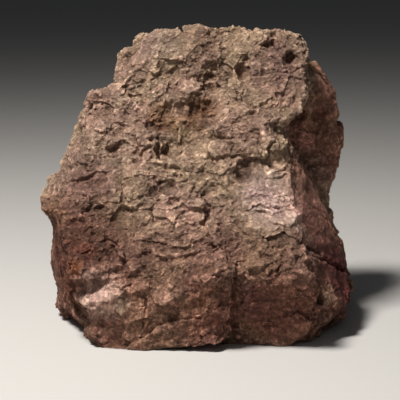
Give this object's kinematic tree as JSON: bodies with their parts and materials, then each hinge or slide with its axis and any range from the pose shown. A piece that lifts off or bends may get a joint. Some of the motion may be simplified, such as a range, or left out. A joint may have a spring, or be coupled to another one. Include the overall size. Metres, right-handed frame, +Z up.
{
  "type": "bauxite rock",
  "caption": "Rough hand specimen of bauxite: a squat lump of matt pinkish-brown ore with a leaning hackly face, ledges, pits, a clean spall and a flat break to rest on.",
  "frame": {"origin": "on the ground plane, under the middle of the rock's bounding box", "axes": "+X to the rock's right seen from the front, along its longest side; -Y is the front, the leaning hackly face; +Z up, out of the resting break"},
  "size_m": [0.1246, 0.1046, 0.1153],
  "materials": {
    "bauxite": "dry, earthy and matt, with a rough broken skin"
  },
  "bodies": {
    "root": {"bauxite_rock": "bauxite"}
  },
  "joints": []
}
